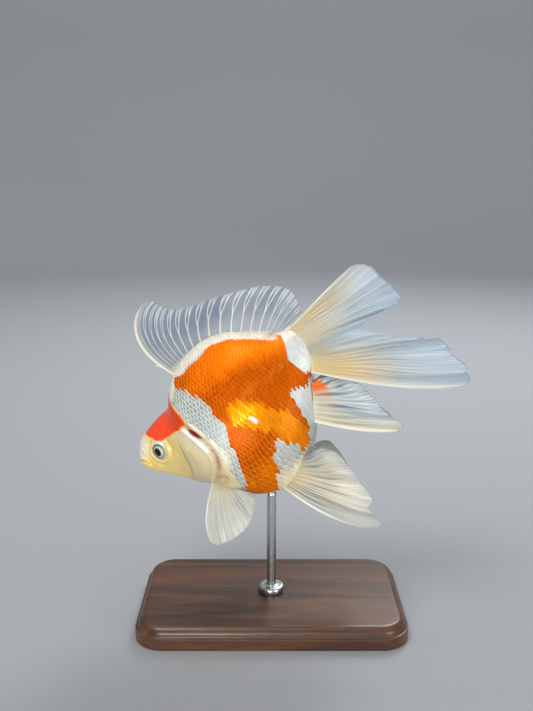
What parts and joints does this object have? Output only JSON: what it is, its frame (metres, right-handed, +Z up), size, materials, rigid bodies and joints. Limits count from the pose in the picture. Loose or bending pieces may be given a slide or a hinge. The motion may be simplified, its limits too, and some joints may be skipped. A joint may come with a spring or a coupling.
{
  "type": "goldfish model on a display stand",
  "caption": "Life-size ryukin goldfish with a high back and long double tail, nose down on a flat wooden stand.",
  "frame": {"origin": "centre of the bounding box's footprint, on the floor under the stand", "axes": "+Z up; -X the way the snout points, +X the tail; the fish's left side faces -Y, nose down by 33 degrees"},
  "size_m": [0.134, 0.066, 0.1519],
  "materials": {
    "skin": "wet scaled skin, orange saddle and cap on pearly cream",
    "gill_cover": "smooth pearly skin",
    "fin": "ribbed translucent membrane",
    "eye": "clear dome over a black pupil in a silver ring",
    "stand_wood": "satin dark walnut",
    "stand_steel": "fine brushed"
  },
  "bodies": {
    "root": {"head": "skin", "trunk": "skin", "tail_stem": "skin", "gill_cover_left": "gill_cover", "gill_cover_right": "gill_cover", "eye_left": "eye", "eye_right": "eye", "dorsal_fin": "fin", "dorsal_spine": "fin", "anal_fin_left": "fin", "anal_fin_right": "fin", "pelvic_fin_left": "fin", "pelvic_fin_right": "fin", "pectoral_fin_left": "fin", "pectoral_fin_right": "fin", "tail_fin_left_upper": "fin", "tail_fin_left_lower": "fin", "tail_fin_right_upper": "fin", "tail_fin_right_lower": "fin", "stand_base": "stand_wood", "stand_collar": "stand_steel", "stand_rod": "stand_steel"}
  },
  "joints": []
}
